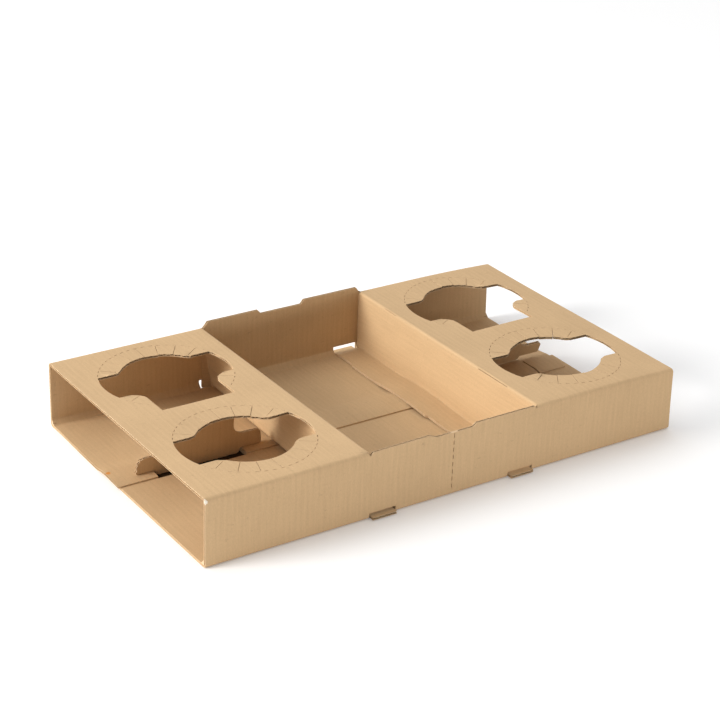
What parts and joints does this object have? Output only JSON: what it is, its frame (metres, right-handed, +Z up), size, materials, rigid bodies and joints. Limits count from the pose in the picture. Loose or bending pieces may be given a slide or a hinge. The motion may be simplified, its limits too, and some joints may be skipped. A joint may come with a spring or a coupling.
{
  "type": "cup carrier",
  "caption": "Folded corrugated kraft carrier: a flat sleeve with toothed cup openings in its top panels and an open well between them.",
  "frame": {"origin": "middle of the footprint at the bottom of the overall box", "axes": "+X along the sleeve towards the end whose divider hangs loose, +Y from the front wall with the tear line to the back wall, +Z up"},
  "size_m": [0.299, 0.178, 0.0415],
  "materials": {
    "kraft_board": "matt"
  },
  "bodies": {
    "root": {"cup_carrier": "kraft_board"}
  },
  "joints": []
}
